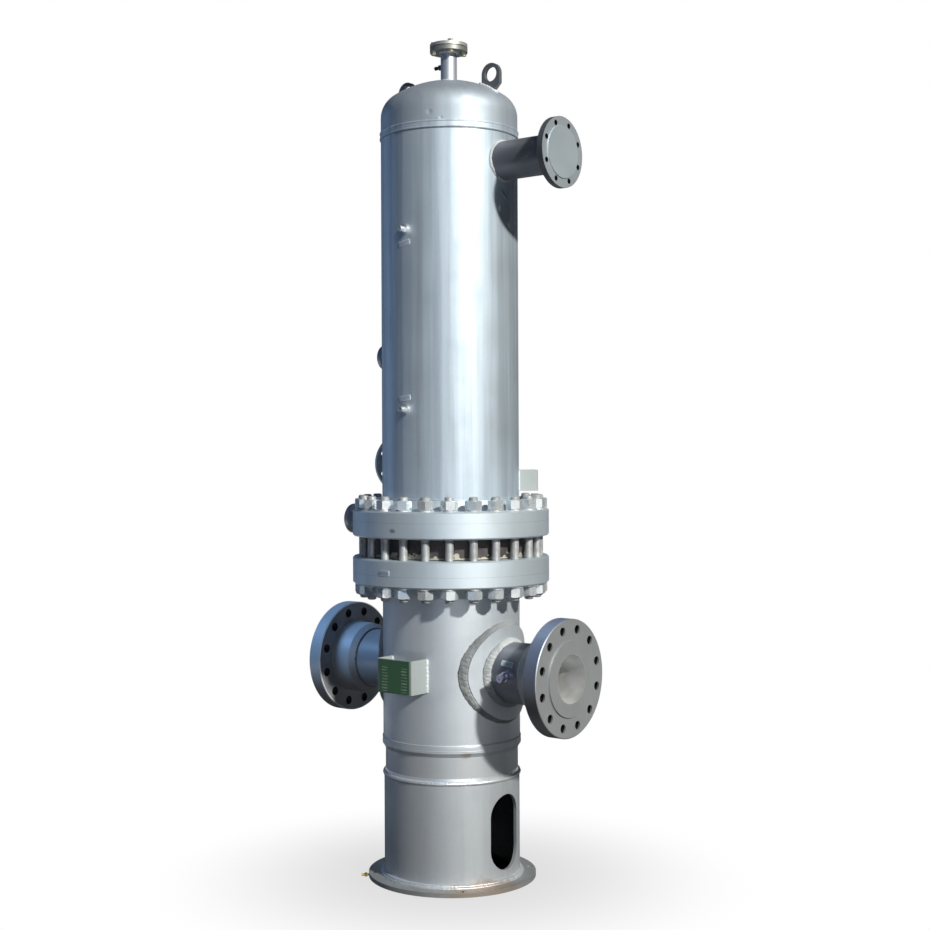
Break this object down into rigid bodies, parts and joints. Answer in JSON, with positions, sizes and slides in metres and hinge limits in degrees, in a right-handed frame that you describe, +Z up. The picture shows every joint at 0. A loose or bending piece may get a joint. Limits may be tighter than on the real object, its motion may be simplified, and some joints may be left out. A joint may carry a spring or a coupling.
{
  "type": "vertical shell and tube heat exchanger",
  "caption": "Upright shell and tube heat exchanger on a skirt: dished heads, a bolted girth closure, opposed flanged channel nozzles, flanged shell nozzles, vent and lifting lugs.",
  "frame": {"origin": "centre of the anchor bolt circle, on the underside of the base ring", "axes": "+Z up the vessel's axis, +X out of the right channel nozzle, the name plate faces -Y"},
  "size_m": [1.074, 0.728, 3.0891],
  "materials": {
    "aluminium_paint": "semi-gloss aluminium paint over carbon steel",
    "stud_steel": "painted over, satin",
    "nut_steel": "bright, semi-gloss",
    "gasket": "matt fibre sheet",
    "tubesheet_steel": "dark, satin",
    "name_plate_green": "green enamel, bare of text",
    "bracket_paint": "pale grey paint",
    "earth_brass": "bare brass"
  },
  "bodies": {
    "root": {"base_ring": "aluminium_paint", "base_ring_weld": "aluminium_paint", "bottom_head": "aluminium_paint", "channel_barrel": "aluminium_paint", "channel_seam_weld": "aluminium_paint", "drain_nozzle": "aluminium_paint", "earth_stud": "earth_brass", "gauge_nozzle": "aluminium_paint", "girth_lower_nuts": "nut_steel", "girth_lower_washers": "nut_steel", "girth_studs": "stud_steel", "girth_upper_nuts": "nut_steel", "girth_upper_washers": "nut_steel", "left_lifting_lug": "aluminium_paint", "left_nozzle_flange": "aluminium_paint", "left_nozzle_neck": "aluminium_paint", "left_nozzle_pad": "aluminium_paint", "lower_gasket": "gasket", "lower_girth_flange": "aluminium_paint", "name_bracket": "bracket_paint", "name_plate": "name_plate_green", "nozzle_tap": "nut_steel", "pass_partition": "aluminium_paint", "right_lifting_lug": "aluminium_paint", "right_nozzle_flange": "aluminium_paint", "right_nozzle_neck": "aluminium_paint", "right_nozzle_pad": "aluminium_paint", "shell_barrel": "aluminium_paint", "shell_inlet_cover": "aluminium_paint", "shell_inlet_flange": "aluminium_paint", "shell_inlet_neck": "aluminium_paint", "shell_outlet_cover": "aluminium_paint", "shell_outlet_flange": "aluminium_paint", "shell_outlet_neck": "aluminium_paint", "shell_seam_weld": "aluminium_paint", "shell_taps": "nut_steel", "skirt": "aluminium_paint", "skirt_top_weld": "aluminium_paint", "tag_bracket": "bracket_paint", "top_head": "aluminium_paint", "tubesheet": "tubesheet_steel", "upper_gasket": "gasket", "upper_girth_flange": "aluminium_paint", "vent_blind": "aluminium_paint", "vent_bolts": "nut_steel", "vent_flange": "aluminium_paint", "vent_gasket": "gasket", "vent_neck": "aluminium_paint", "vent_tap": "aluminium_paint"}
  },
  "joints": []
}
